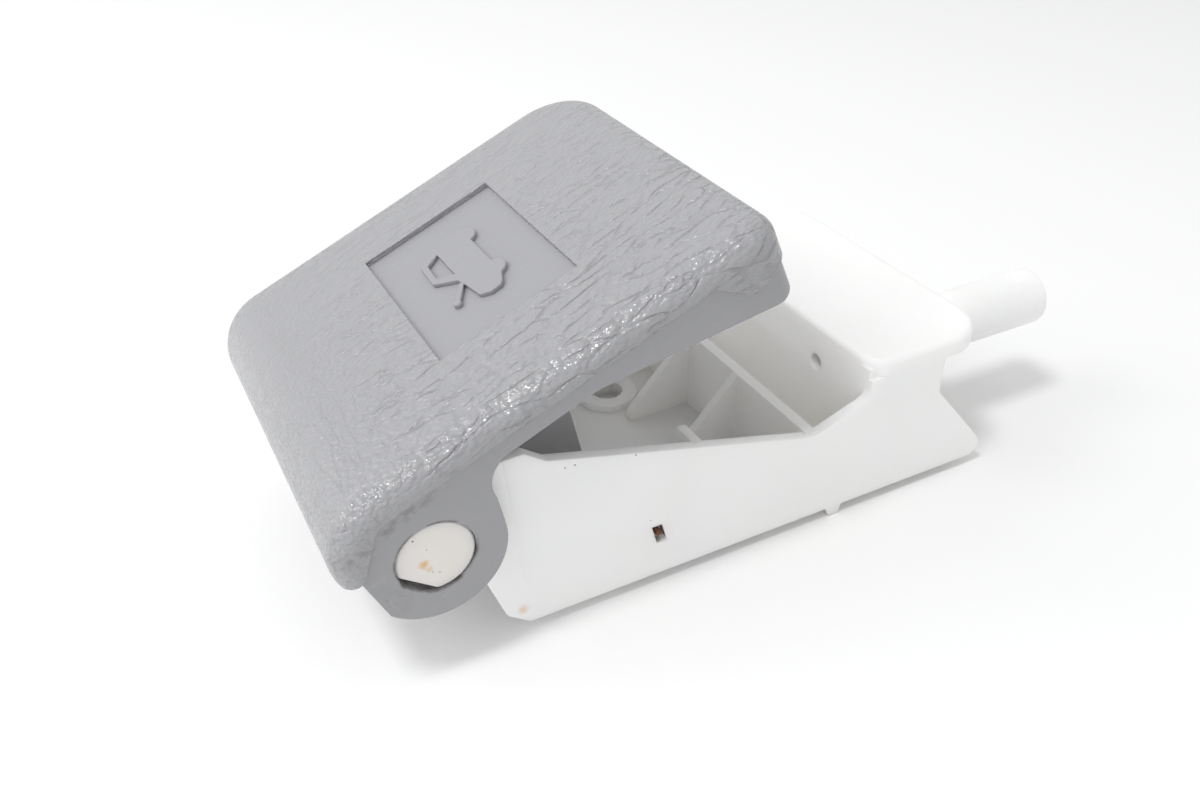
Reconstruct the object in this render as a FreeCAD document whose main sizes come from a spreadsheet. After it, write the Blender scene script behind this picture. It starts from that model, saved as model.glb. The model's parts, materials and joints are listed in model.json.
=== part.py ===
import FreeCAD, Part
import Sketcher
import math
import os

# Hood release handle: a grained grip cover on a smooth lever moulding, hinged on the
# two snap bosses of a white bracket, with the torsion spring that sits on the near boss.
# All lengths are millimetres and all angles are degrees.
# The pieces are drawn about the hinge axis, with X towards the cable end, Y across and
# Z up, the handle lying closed. The last step opens the handle and moves everything so
# that the origin is at the bottom centre of the whole part.

plainSizes = {
    # handle, seen from the side
    "top_height": 12.8,
    "free_end": 56.3,
    "rear_reach": 11.0,
    "rear_radius": 9.0,
    "rear_lip": 3.4,
    "envelope_floor": -6.0,
    # handle, seen from above
    "cover_half": 28.65,
    "near_corner": 4.4,
    "far_corner": 9.6,
    "roll_radius": 3.2,
    # grip cover
    "cover_wall": 0.8,
    "cover_step": 0.4,
    "cover_fit": 0.05,
    "cover_edge": 9.4,
    "cover_rear_x": -3.2,
    "lobe_start": 45.2,
    "lobe_bottom_x": 49.8,
    "lobe_bottom_z": 4.6,
    "lobe_end_x": 54.2,
    "lobe_end_z": 6.2,
    "lobe_radius": 2.6,
    "lobe_blend": 1.8,
    "window_x": 24.4,
    "window_y": 1.3,
    "window_length": 20.9,
    "window_width": 29.6,
    # lever moulding
    "lever_wall": 1.9,
    "lever_top_wall": 1.4,
    "skirt_edge": 6.9,
    "skirt_bend": 27.0,
    "skirt_bend_radius": 12.0,
    "skirt_low": 0.75,
    "skirt_radius": 3.0,
    "skirt_rear_x": -5.5,
    "skirt_rear_slope": 2.0,
    "ear_radius": 9.3,
    "ear_thick": 2.2,
    "ear_neck_x": 10.0,
    "ear_neck_z": 2.3,
    "ear_waist_x": 9.2,
    "ear_waist_z": -1.55,
    "ear_tab": 2.0,
    "ear_flat_x": -8.6,
    "ear_fillet": 4.2,
    "boss_hole": 5.2,
    "rib_thick": 1.4,
    "rib_drop": 3.2,
    "fork_rear_x": 13.0,
    "fork_top_x": 24.0,
    "fork_tip_x": 22.3,
    "fork_tip_z": -12.0,
    "fork_taper": 1.5,
    "fork_waist_z": -3.0,
    "fork_thick": 2.4,
    "fork_gap": 5.2,
    "fork_radius": 2.4,
    "bridge_setback": 1.0,
    "bridge_thick": 2.2,
    "cable_slot": 2.6,
    "cable_seat_x": 18.5,
    "cable_seat_z": 1.5,
    "cable_seat_radius": 2.9,
    # bracket
    "axis_height": 19.0,
    "side_gap": 0.25,
    "boss_clearance": 0.08,
    "boss_end_gap": 0.2,
    "boss_edge": 0.25,
    "ramp_chord": 4.0,
    "ramp_run": 1.9,
    "ramp_angle": 37.7,
    "plate_thick": 1.6,
    "plate_end_radius": 8.6,
    "plate_peak_x": 13.0,
    "plate_peak_z": 9.2,
    "plate_lip_x": 16.0,
    "plate_lip_z": 7.0,
    "plate_low_x": 58.0,
    "plate_low_z": -4.0,
    "plate_low_radius": 6.0,
    "plate_rise_x": 67.5,
    "plate_rise_z": -0.6,
    "flange_under": 2.4,
    "flange_thick": 2.8,
    "flange_end": 90.3,
    "flange_radius": 7.5,
    "flange_inner_radius": 3.75,
    "flange_edge": 0.9,
    "plate_end_x": 81.2,
    "plate_end_z": -3.6,
    "plate_end_bend": 3.0,
    "plate_toe_x": 93.0,
    "plate_toe_z": -17.0,
    "plate_toe_step": 2.0,
    "plate_corner": 2.0,
    "plate_neck_x": 5.75,
    "plate_neck_z": -6.35,
    "leg_x": 9.3,
    "leg_z": -16.4,
    "leg_foot_x": 12.6,
    "floor_start": 31.0,
    "floor_thick": 1.8,
    "screw_x": 46.0,
    "screw_spacing": 30.0,
    "screw_hole": 2.7,
    "screw_pad": 5.2,
    "screw_pad_height": 1.2,
    "wall_thick": 1.8,
    "guide_wall_x": 57.0,
    "guide_wall_rise": 0.5,
    "gusset_y": -7.0,
    "gusset_run": 11.0,
    "gusset_rise": 12.0,
    "stop_wall_x": 38.0,
    "stop_wall_reach": 4.6,
    "stop_gusset_run": 4.4,
    "stop_gusset_drop": 6.2,
    "slot_x": 32.55,
    "slot_z": -11.7,
    "slot_width": 1.6,
    "slot_height": 3.2,
    "slot_lean": 15.7,
    "snap_x": 61.5,
    "snap_length": 3.8,
    "snap_depth": 1.7,
    "snap_rise": 1.3,
    "snap_back": 0.95,
    "snap_root": 1.0,
    # cable conduit socket
    "cable_y": -13.0,
    "cable_z": -1.2,
    "socket_end": 111.0,
    "socket_radius": 4.7,
    "socket_bore": 3.3,
    "socket_depth": 16.0,
    "wire_hole": 1.3,
    # torsion spring
    "wire_radius": 0.5,
    "coil_radius": 5.4,
    "coil_pitch": 1.4,
    "coil_turns": 2,
    "coil_steps": 20,
    "wire_sides": 10,
    "coil_hub_gap": 0.25,
    "coil_side_gap": 0.35,
    "leg_tip_x": 21.0,
    "leg_tip_gap": 0.1,
    "hook_end_gap": 0.2,
    # length by which a cutting solid runs past what it cuts
    "overrun": 5.0,
    # pose in which the part stands
    "open_angle": 23.5,
}

# Points closer than this count as being in the same place
slack = 0.01


class Size:
    # A number together with the spreadsheet formula that gives it
    def __init__(self, number, formula):
        self.number = number
        self.formula = formula

    def join(self, other, sign, number):
        text = other.formula if isinstance(other, Size) else repr(float(other))
        return Size(number, "(%s %s %s)" % (self.formula, sign, text))

    def __add__(self, other):
        return self.join(other, "+", self.number + numberOf(other))

    def __sub__(self, other):
        return self.join(other, "-", self.number - numberOf(other))

    def __mul__(self, other):
        return self.join(other, "*", self.number * numberOf(other))

    def __truediv__(self, other):
        return self.join(other, "/", self.number / numberOf(other))

    def __neg__(self):
        return self * -1


def numberOf(value):
    return value.number if isinstance(value, Size) else float(value)


nothing = Size(0.0, "0")
document = FreeCAD.newDocument("HoodReleaseHandle")


def makeSheet():
    # The driving dimensions, one row each, with the alias that formulas use
    sheet = document.addObject("Spreadsheet::Sheet", "sizes")
    for row, (alias, number) in enumerate(plainSizes.items(), start=1):
        sheet.set("A%d" % row, alias.replace("_", " "))
        sheet.set("B%d" % row, str(number))
        sheet.setAlias("B%d" % row, alias)
    document.recompute()


def size(alias):
    return Size(float(plainSizes[alias]), "sizes." + alias)


def tie(thing, attribute, value):
    # Give a property its number and the formula that keeps it up to date
    setattr(thing, attribute, numberOf(value))
    if isinstance(value, Size):
        thing.setExpression(attribute, value.formula)


def attach(body, sketch, role, offset):
    # Lay a sketch on one of its body's own origin planes, moved along the plane's normal
    planes = [plane for plane in body.Origin.OriginFeatures if plane.Role == role]
    sketch.AttachmentSupport = [(planes[0], "")]
    sketch.MapMode = "FlatFace"
    base = FreeCAD.Vector(0, 0, numberOf(offset))
    sketch.AttachmentOffset = FreeCAD.Placement(base, FreeCAD.Rotation())
    if isinstance(offset, Size):
        sketch.setExpression(".AttachmentOffset.Base.z", offset.formula)


def pin(sketch, geometry, point, across, up):
    # Fix a point of a sketch at two measured distances from the sketch origin
    for kind, value in (("DistanceX", across), ("DistanceY", up)):
        mark = sketch.addConstraint(
            Sketcher.Constraint(kind, -1, 1, geometry, point, numberOf(value)))
        if isinstance(value, Size):
            sketch.setExpression("Constraints[%d]" % mark, value.formula)


def drawOutline(sketch, corners):
    # A closed outline of straight lines through the corners
    vectors = [FreeCAD.Vector(numberOf(a), numberOf(b), 0) for a, b in corners]
    count = len(corners)
    for index in range(count):
        sketch.addGeometry(Part.LineSegment(vectors[index], vectors[(index + 1) % count]))
    for index in range(count):
        follower = (index + 1) % count
        sketch.addConstraint(Sketcher.Constraint("Coincident", index, 2, follower, 1))
    for index, (across, up) in enumerate(corners):
        pin(sketch, index, 1, across, up)


def drawCircle(sketch, across, up, radius):
    centre = FreeCAD.Vector(numberOf(across), numberOf(up), 0)
    normal = FreeCAD.Vector(0, 0, 1)
    circle = sketch.addGeometry(Part.Circle(centre, normal, numberOf(radius)))
    pin(sketch, circle, 3, across, up)
    mark = sketch.addConstraint(Sketcher.Constraint("Radius", circle, numberOf(radius)))
    if isinstance(radius, Size):
        sketch.setExpression("Constraints[%d]" % mark, radius.formula)


def newBody(name):
    return document.addObject("PartDesign::Body", name)


def pad(body, name, role, draw, low, high):
    # Draw a sketch at the level low of a plane and pad it up to the level high.
    # The XZ plane faces -Y, so there the levels run the other way round.
    sketch = body.newObject("Sketcher::SketchObject", name + "Sketch")
    facingBack = role == "XZ_Plane"
    attach(body, sketch, role, -low if facingBack else low)
    draw(sketch)
    feature = body.newObject("PartDesign::Pad", name)
    feature.Profile = sketch
    feature.Reversed = facingBack
    tie(feature, "Length", high - low)
    document.recompute()
    return feature


def sideSlab(name, corners, low, high):
    # A slab with its outline in the side view, from y = low to y = high
    body = newBody(name)
    pad(body, name + "Pad", "XZ_Plane", lambda sketch: drawOutline(sketch, corners), low, high)
    return body


def planSlab(name, corners, low, high):
    # A slab with its outline seen from above, from z = low to z = high
    body = newBody(name)
    pad(body, name + "Pad", "XY_Plane", lambda sketch: drawOutline(sketch, corners), low, high)
    return body


def crossSlab(name, corners, low, high):
    # A wall with its outline seen along X, from x = low to x = high
    body = newBody(name)
    pad(body, name + "Pad", "YZ_Plane", lambda sketch: drawOutline(sketch, corners), low, high)
    return body


def roundBar(name, role, across, up, radius, low, high):
    # A round bar square to one of the planes
    body = newBody(name)
    pad(body, name + "Pad", role, lambda sketch: drawCircle(sketch, across, up, radius), low, high)
    return body


def edgesWhere(shape, wanted):
    # The names of the edges whose two ends and middle all pass the test
    names = []
    for index, edge in enumerate(shape.Edges, start=1):
        middle = edge.valueAt((edge.FirstParameter + edge.LastParameter) / 2)
        points = [vertex.Point for vertex in edge.Vertexes] + [middle]
        if all(wanted(point) for point in points):
            names.append("Edge%d" % index)
    return names


def roundEdges(body, name, wanted, radius, kind="PartDesign::Fillet"):
    # Round, or with kind set chamfer, the edges of a body that pass the test
    names = edgesWhere(body.Shape, wanted)
    if not names:
        raise ValueError("no edge to round for " + name)
    base = body.Tip
    feature = body.newObject(kind, name)
    feature.Base = (base, names)
    tie(feature, "Radius" if kind.endswith("Fillet") else "Size", radius)
    body.Tip = feature
    document.recompute()
    return feature


def near(value, target):
    return abs(value - numberOf(target)) < slack


def fuse(name, things):
    feature = document.addObject("Part::MultiFuse", name)
    feature.Shapes = things
    document.recompute()
    return feature


def cut(name, base, tool):
    feature = document.addObject("Part::Cut", name)
    feature.Base = base
    feature.Tool = tool
    document.recompute()
    if feature.Shape.Volume > base.Shape.Volume - 1e-3:
        raise ValueError(name + " took nothing away")
    return feature


def common(name, base, tool):
    feature = document.addObject("Part::Common", name)
    feature.Base = base
    feature.Tool = tool
    document.recompute()
    return feature


def box(left, right, bottom, top):
    return [(left, bottom), (right, bottom), (right, top), (left, top)]


# Handle


def envelope(name, inset, topInset, bendInset, rolled=True):
    # The rounded outer form of the handle, drawn in by a wall at its sides and its top: a
    # side profile with the large rear bend, rounded free corners and a rolled upper edge,
    # which the space inside the lever does without
    rear = -size("rear_reach") + inset
    front = size("free_end") - inset
    top = size("top_height") - topInset
    low = size("envelope_floor")
    half = size("cover_half") - inset
    body = sideSlab(name, box(rear, front, low, top), -half, half)
    for corner, side in (("near_corner", -half), ("far_corner", half)):
        roundEdges(body, name + corner.title().replace("_", ""),
                   lambda p: near(p.x, front) and near(p.y, side),
                   size(corner) - inset)
    roundEdges(body, name + "Rear",
               lambda p: near(p.x, rear) and near(p.z, top),
               size("rear_radius") - bendInset)
    if rolled:
        roundEdges(body, name + "Roll",
                   lambda p: p.z > numberOf(low) + slack and onRim(p, front, half),
                   size("roll_radius") - bendInset)
    return body


def onRim(point, front, half):
    # True seen from above along the two sides and the free end and in the corners
    radius = numberOf(size("near_corner" if point.y < 0 else "far_corner")) + slack
    inCorner = point.x > numberOf(front) - radius and abs(point.y) > numberOf(half) - radius
    return near(abs(point.y), half) or near(point.x, front) or inCorner


def belowCoverEdge(name):
    # Everything under the cover's lower edge: low at the rear lip, level along the
    # sides, and dropping into the lobe before the free corners
    reach = size("cover_half") + size("overrun")
    far = size("free_end") + size("overrun")
    rear = -size("rear_reach") - size("overrun")
    deep = size("envelope_floor") - size("overrun")
    bends = [
        (size("lobe_end_x"), size("lobe_end_z"), size("lobe_radius")),
        (size("lobe_bottom_x"), size("lobe_bottom_z"), size("lobe_radius")),
        (size("lobe_start"), size("cover_edge"), size("lobe_blend")),
        (size("cover_rear_x"), size("cover_edge"), size("lobe_radius")),
        (-size("rear_reach") + size("lobe_radius"), size("rear_lip"), size("lobe_radius")),
    ]
    corners = [(rear, deep), (far, deep), (far, size("lobe_end_z"))]
    corners += [(across, up) for across, up, radius in bends]
    corners.append((rear, size("rear_lip")))
    body = sideSlab(name, corners, -reach, reach)
    for number, (across, up, radius) in enumerate(bends):
        roundEdges(body, "%sBend%d" % (name, number),
                   lambda p: near(p.x, across) and near(p.z, up), radius)
    return body


def gripCover():
    # The grained cover: a thin even shell over the lever, open below, with the window
    # in which the lever's smooth panel shows
    wall = size("cover_wall")
    shell = cut("coverShell", envelope("coverOuter", nothing, nothing, nothing),
                envelope("coverInner", wall, wall, wall))
    trimmed = cut("coverTrimmed", shell, belowCoverEdge("coverLine"))
    left = size("window_x") - size("window_length") / 2
    low = size("window_y") - size("window_width") / 2
    opening = planSlab("coverWindow",
                       box(left, left + size("window_length"), low, low + size("window_width")),
                       size("top_height") - size("overrun"),
                       size("top_height") + size("overrun"))
    return cut("grip_cover", trimmed, opening)


def ear(side):
    # One hinge ear: a round end with its neck, blended into the skirt above it
    outer = size("cover_half") - size("cover_step")
    inner = outer - size("ear_thick")
    low = inner if side > 0 else -outer
    high = outer if side > 0 else -inner
    name = "earFar" if side > 0 else "earNear"
    neckTop = size("skirt_edge") + size("lever_wall")
    tabEnd = size("ear_neck_x") + size("ear_fillet") + size("ear_tab")
    corners = [
        (size("ear_flat_x"), size("ear_waist_z")),
        (size("ear_waist_x"), size("ear_waist_z")),
        (size("ear_neck_x"), size("ear_neck_z")),
        (size("ear_neck_x"), size("skirt_edge")),
        (tabEnd, size("skirt_edge")),
        (tabEnd, neckTop),
        (size("ear_flat_x"), neckTop),
    ]
    neck = sideSlab(name + "Neck", corners, low, high)
    roundEdges(neck, name + "Blend",
               lambda p: near(p.x, size("ear_neck_x")) and near(p.z, size("skirt_edge")),
               size("ear_fillet"))
    disc = roundBar(name + "Disc", "XZ_Plane", nothing, nothing, size("ear_radius"), low, high)
    flat = sideSlab(name + "Flat",
                    box(-size("ear_radius") - size("overrun"), size("ear_flat_x"),
                        -size("ear_radius"), size("skirt_edge")),
                    low - size("overrun"), high + size("overrun"))
    whole = fuse(name + "Whole", [neck, disc])
    return cut(name, whole, flat)


def forkPlate(name, low):
    # One cheek of the lever arm that pulls the cable
    top = size("top_height") - size("cover_wall") - size("lever_top_wall") / 2
    corners = [
        (size("fork_rear_x"), top),
        (size("fork_rear_x") + size("fork_taper"), size("fork_tip_z")),
        (size("fork_tip_x"), size("fork_tip_z")),
        (size("fork_top_x"), size("fork_waist_z")),
        (size("fork_top_x") + size("fork_taper"), top),
    ]
    body = sideSlab(name, corners, low, low + size("fork_thick"))
    roundEdges(body, name + "Tip",
               lambda p: near(p.z, size("fork_tip_z")) and (
                   near(p.x, size("fork_rear_x") + size("fork_taper"))
                   or near(p.x, size("fork_tip_x"))),
               size("fork_radius"))
    return body


def leverArm():
    # The forked arm under the handle: two cheeks, the bridge between them, and the
    # round seat with its slot for the cable's end
    low = size("cable_y") - size("fork_gap") / 2 - size("fork_thick")
    far = size("cable_y") + size("fork_gap") / 2
    top = size("top_height") - size("cover_wall") - size("lever_top_wall") / 2
    bridgeRear = size("fork_rear_x") + size("bridge_setback")
    bridge = sideSlab("forkBridge",
                      box(bridgeRear, bridgeRear + size("bridge_thick"),
                          size("fork_tip_z") + size("fork_radius"), top),
                      low + size("fork_thick") / 2, far + size("fork_thick") / 2)
    arm = fuse("forkWhole", [forkPlate("forkNear", low), forkPlate("forkFar", far), bridge])
    beside = size("fork_gap") / 2
    seat = roundBar("cableSeat", "XZ_Plane", size("cable_seat_x"), size("cable_seat_z"),
                    size("cable_seat_radius"), far - beside, far + size("fork_thick") + beside)
    slot = sideSlab("cableSlot",
                    box(size("cable_seat_x"), size("fork_top_x") + size("overrun"),
                        size("cable_seat_z") - size("cable_slot") / 2,
                        size("cable_seat_z") + size("cable_slot") / 2),
                    far - beside, far + size("fork_thick") + beside)
    return cut("leverArm", arm, fuse("cableSeatWhole", [seat, slot]))


def leverRibs():
    # Stiffening ribs under the top of the lever, clear of the bracket's plates
    top = size("top_height") - size("cover_wall") - size("lever_top_wall") / 2
    low = top - size("rib_drop")
    ribs = []
    for number, across in enumerate((-size("cable_y"), nothing)):
        ribs.append(sideSlab("rib%d" % number,
                             box(nothing, size("free_end") - size("lever_wall"), low, top),
                             across - size("rib_thick") / 2, across + size("rib_thick") / 2))
    return ribs


def handleBody():
    # The smooth moulding: the core under the cover, the skirt that stands just inside
    # the cover's edge, the hollow below, two ears and the lever arm
    step = size("cover_step")
    wall = size("cover_wall")
    core = envelope("leverCore", wall + size("cover_fit"), wall, wall / 2)
    below = belowCoverEdge("skirtLine")
    skirt = common("skirtBand", envelope("skirtOuter", step, wall, step), below)
    solid = fuse("leverSolid", [core, skirt])
    inset = step + size("lever_wall")
    hollow = envelope("leverHollow", inset, wall + size("lever_top_wall"), inset, rolled=False)
    shell = cut("leverShell", solid, hollow)
    deep = size("envelope_floor") - size("overrun")
    far = size("free_end") + size("overrun")
    rear = -size("rear_reach") - size("overrun")
    reach = size("cover_half") + size("overrun")
    corners = [
        (rear, deep),
        (far, deep),
        (far, size("skirt_low")),
        (size("free_end") - size("skirt_radius"), size("skirt_low")),
        (size("skirt_bend"), size("skirt_edge")),
        (size("skirt_rear_x"), size("skirt_edge")),
        (size("skirt_rear_x") - size("skirt_rear_slope"), size("rear_lip")),
        (rear, size("rear_lip")),
    ]
    under = sideSlab("skirtUnder", corners, -reach, reach)
    roundEdges(under, "skirtBend",
               lambda p: near(p.x, size("skirt_bend")) and near(p.z, size("skirt_edge")),
               size("skirt_bend_radius"))
    trimmed = cut("leverTrimmed", shell, under)
    ears = common("earsTrimmed", fuse("earsWhole", [ear(side) for side in (-1, 1)]),
                  fuse("leverRoom", [core, below]))
    whole = fuse("leverWhole", [trimmed, leverArm(), ears] + leverRibs())
    holes = roundBar("bossHoles", "XZ_Plane", nothing, nothing, size("boss_hole"), -reach, reach)
    return cut("handle_body", whole, holes)


# Bracket


def plateHalf():
    # Outer face of the side plates, inside the ears by the running gap
    return size("cover_half") - size("cover_step") - size("ear_thick") - size("side_gap")


def sidePlate(side):
    # One side plate: tapered from the hinge end to its low point, then rising to the
    # flange, with a slanted toe at the cable end
    outer = plateHalf()
    low = outer - size("plate_thick") if side > 0 else -outer
    name = "plateFar" if side > 0 else "plateNear"
    base = -size("axis_height")
    corners = [
        (size("leg_foot_x"), base),
        (size("plate_toe_x") - size("plate_toe_step"), base),
        (size("plate_toe_x"), size("plate_toe_z")),
        (size("plate_end_x"), size("plate_end_z")),
        (size("plate_end_x"), size("flange_under")),
        (size("plate_rise_x"), size("flange_under")),
        (size("plate_rise_x"), size("plate_rise_z")),
        (size("plate_low_x"), size("plate_low_z")),
        (size("plate_lip_x"), size("plate_lip_z")),
        (size("plate_peak_x"), size("plate_peak_z")),
        (nothing, size("plate_end_radius")),
        (nothing, nothing),
        (size("plate_neck_x"), size("plate_neck_z")),
        (size("leg_x"), size("leg_z")),
    ]
    body = sideSlab(name, corners, low, low + size("plate_thick"))
    places = (
        ("Toe", size("plate_toe_x"), size("plate_toe_z"), size("plate_corner")),
        ("End", size("plate_end_x"), size("plate_end_z"), size("plate_end_bend")),
        ("Rise", size("plate_rise_x"), size("plate_rise_z"), size("plate_corner")),
        ("Low", size("plate_low_x"), size("plate_low_z"), size("plate_low_radius")),
        ("Leg", size("leg_x"), size("leg_z"), size("plate_corner")),
    )
    for label, across, up, radius in places:
        roundEdges(body, name + label,
                   lambda p: near(p.x, across) and near(p.z, up), radius)
    disc = roundBar(name + "Disc", "XZ_Plane", nothing, nothing, size("plate_end_radius"),
                    low, low + size("plate_thick"))
    return [body, disc]


def hingeBoss(side):
    # The snap boss that the ear turns on, with a slanted ramp cut into the lower rear of
    # its end, and inside the plate the hub that carries the spring's coil
    name = "bossFar" if side > 0 else "bossNear"
    end = size("cover_half") - size("cover_step") - size("boss_end_gap")
    inner = plateHalf() - size("plate_thick")
    hubEnd = inner - coilLength() - size("coil_side_gap") * 2
    radius = size("boss_hole") - size("boss_clearance")
    hubRadius = size("coil_radius") - size("wire_radius") - size("coil_hub_gap")
    low = inner if side > 0 else -end
    high = end if side > 0 else -inner
    boss = roundBar(name, "XZ_Plane", nothing, nothing, radius, low, high)
    roundEdges(boss, name + "Edge",
               lambda p: near(abs(p.y), end), size("boss_edge"), "PartDesign::Chamfer")
    beyond = radius + size("overrun")
    slope = size("ramp_run") / (radius - size("ramp_chord"))
    corners = [
        (end * side, -size("ramp_chord")),
        ((end - slope * (beyond - size("ramp_chord"))) * side, -beyond),
        ((end + size("overrun")) * side, -beyond),
        ((end + size("overrun")) * side, -size("ramp_chord")),
    ]
    ramp = crossSlab(name + "Ramp", corners, -beyond, beyond)
    tilt = FreeCAD.Rotation(FreeCAD.Vector(0, 1, 0), plainSizes["ramp_angle"])
    ramp.Placement = FreeCAD.Placement(FreeCAD.Vector(0, 0, 0), tilt)
    ramp.setExpression(".Placement.Rotation.Angle", "sizes.ramp_angle")
    hubLow = hubEnd if side > 0 else -inner
    hubHigh = inner if side > 0 else -hubEnd
    hub = roundBar(name + "Hub", "XZ_Plane", nothing, nothing, hubRadius, hubLow, hubHigh)
    return [cut(name + "Whole", boss, ramp), hub]


def coilLength():
    # Room for the whole turns and the part turn that joins the legs
    return size("coil_pitch") * (size("coil_turns") + 1) + size("wire_radius") * 2


def bracketFloor():
    # The floor web between the plates, with raised pads round its two screw holes
    half = plateHalf() - size("plate_thick") / 2
    base = -size("axis_height")
    end = size("plate_toe_x") - size("plate_toe_step")
    things = [planSlab("floorWeb", box(size("floor_start"), end, -half, half),
                       base, base + size("floor_thick"))]
    for number, side in enumerate((-1, 1)):
        things.append(roundBar("screwPad%d" % number, "XY_Plane", size("screw_x"),
                               size("screw_spacing") * (side / 2), size("screw_pad"),
                               base, base + size("floor_thick") + size("screw_pad_height")))
    return things


def crossWalls():
    # The guide wall where the plates are lowest, and the wall under the flange
    half = plateHalf() - size("plate_thick") / 2
    base = -size("axis_height") + size("floor_thick") / 2
    guideTop = size("plate_low_z") + size("guide_wall_rise")
    guide = crossSlab("guideWall", [(-half, base), (half, base), (half, guideTop), (-half, guideTop)],
                      size("guide_wall_x"), size("guide_wall_x") + size("wall_thick"))
    top = size("flange_under") + size("flange_thick") / 2
    rear = crossSlab("flangeWall", [(-half, base), (half, base), (half, top), (-half, top)],
                     size("plate_rise_x"), size("plate_rise_x") + size("wall_thick"))
    return [guide, rear]


def gussets():
    # Triangular webs that brace the guide wall and the two short stop walls
    base = -size("axis_height") + size("floor_thick") / 2
    top = size("plate_low_z") + size("guide_wall_rise")
    start = size("guide_wall_x") + size("wall_thick") / 2
    thick = size("rib_thick")
    things = []
    for number, centre in enumerate((size("gusset_y"), -size("gusset_y"))):
        corners = [
            (start, base),
            (start, top),
            (size("guide_wall_x"), top),
            (size("guide_wall_x") - size("gusset_run"), top - size("gusset_rise")),
            (size("guide_wall_x") - size("gusset_run"), base),
        ]
        things.append(sideSlab("gusset%d" % number, corners,
                               centre - thick / 2, centre + thick / 2))
    return things


def stopWalls():
    # Short upright walls on the inside of each plate, with a web sloping to the rear
    inner = plateHalf() - size("plate_thick") / 2
    base = -size("axis_height") + size("floor_thick") / 2
    slope = (size("plate_low_z") - size("plate_lip_z")) / (size("plate_low_x") - size("plate_lip_x"))
    top = size("plate_lip_z") + slope * (size("stop_wall_x") - size("plate_lip_x"))
    reach = size("stop_wall_reach")
    thick = size("rib_thick")
    things = []
    for side in (-1, 1):
        name = "stopFar" if side > 0 else "stopNear"
        low = inner - reach if side > 0 else -inner
        corners = [(low, base), (low + reach, base), (low + reach, top), (low, top)]
        things.append(crossSlab(name + "Wall", corners, size("stop_wall_x"),
                                size("stop_wall_x") + thick))
        webLow = low if side > 0 else low + reach - thick
        web = [
            (size("stop_wall_x") + thick / 2, base),
            (size("stop_wall_x") + thick / 2, top),
            (size("stop_wall_x"), top),
            (size("stop_wall_x") - size("stop_gusset_run"), top - size("stop_gusset_drop")),
            (size("stop_wall_x") - size("stop_gusset_run"), base),
        ]
        things.append(sideSlab(name + "Web", web, webLow, webLow + thick))
    return things


def flange():
    # The thick flange across both plates at the cable end
    half = plateHalf()
    low = size("flange_under")
    body = planSlab("flangePlate",
                    box(size("plate_rise_x"), size("flange_end"), -half, half),
                    low, low + size("flange_thick"))
    roundEdges(body, "flangeCorner",
               lambda p: near(p.x, size("flange_end")) and near(abs(p.y), half),
               size("flange_radius"))
    roundEdges(body, "flangeInnerCorner",
               lambda p: near(p.x, size("plate_rise_x")) and near(abs(p.y), half),
               size("flange_inner_radius"))
    roundEdges(body, "flangeTop",
               lambda p: near(p.z, low + size("flange_thick")),
               size("flange_edge"))
    return body


def socketTube():
    # The tube under the flange that takes the end of the cable's conduit
    return roundBar("socketTube", "YZ_Plane", size("cable_y"), size("cable_z"),
                    size("socket_radius"), size("plate_rise_x"), size("socket_end"))


def snapTab(side):
    # A small ramped tab under each plate that clicks into the panel
    outer = plateHalf()
    low = outer - size("plate_thick") if side > 0 else -outer
    base = -size("axis_height")
    start = size("snap_x")
    corners = [
        (start, base + size("snap_root")),
        (start + size("snap_rise"), base - size("snap_depth")),
        (start + size("snap_length") - size("snap_back"), base - size("snap_depth")),
        (start + size("snap_length"), base + size("snap_root")),
    ]
    name = "snapFar" if side > 0 else "snapNear"
    return sideSlab(name, corners, low, low + size("plate_thick"))


def springSlot():
    # The leaning slot through the near plate that holds the spring's fixed leg
    high = size("slot_height") / 2
    wide = size("slot_width") / 2
    lean = size("slot_height") * (math.tan(math.radians(plainSizes["slot_lean"])) / 2)
    across = size("slot_x")
    up = size("slot_z")
    corners = [
        (across - wide + lean, up - high),
        (across + wide + lean, up - high),
        (across + wide - lean, up + high),
        (across - wide - lean, up + high),
    ]
    outer = plateHalf()
    return sideSlab("springSlot", corners, -outer - size("plate_thick"),
                    -outer + size("plate_thick") * 2)


def bracket():
    # The whole white moulding, then the holes through it
    things = bracketFloor() + crossWalls() + gussets() + stopWalls()
    for side in (-1, 1):
        things += sidePlate(side) + hingeBoss(side) + [snapTab(side)]
    things += [flange(), socketTube()]
    whole = fuse("bracketWhole", things)
    tools = [springSlot()]
    tools.append(roundBar("socketBore", "YZ_Plane", size("cable_y"), size("cable_z"),
                          size("socket_bore"), size("socket_end") - size("socket_depth"),
                          size("socket_end") + size("overrun")))
    tools.append(roundBar("wireHole", "YZ_Plane", size("cable_y"), size("cable_z"),
                          size("wire_hole"), size("guide_wall_x") - size("overrun"),
                          size("socket_end") + size("overrun")))
    padTop = -size("axis_height") + size("floor_thick") + size("screw_pad_height")
    for number, side in enumerate((-1, 1)):
        tools.append(roundBar("screwHole%d" % number, "XY_Plane", size("screw_x"),
                              size("screw_spacing") * (side / 2), size("screw_hole"),
                              -size("axis_height") - size("overrun"),
                              padTop + size("overrun")))
    return cut("bracket", whole, fuse("bracketHoles", tools))


# Torsion spring


def atAngle(angle, radius, across):
    # A point on a circle about the hinge axis, at a distance along that axis
    return FreeCAD.Vector(radius * math.cos(angle), across, radius * math.sin(angle))


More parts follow.
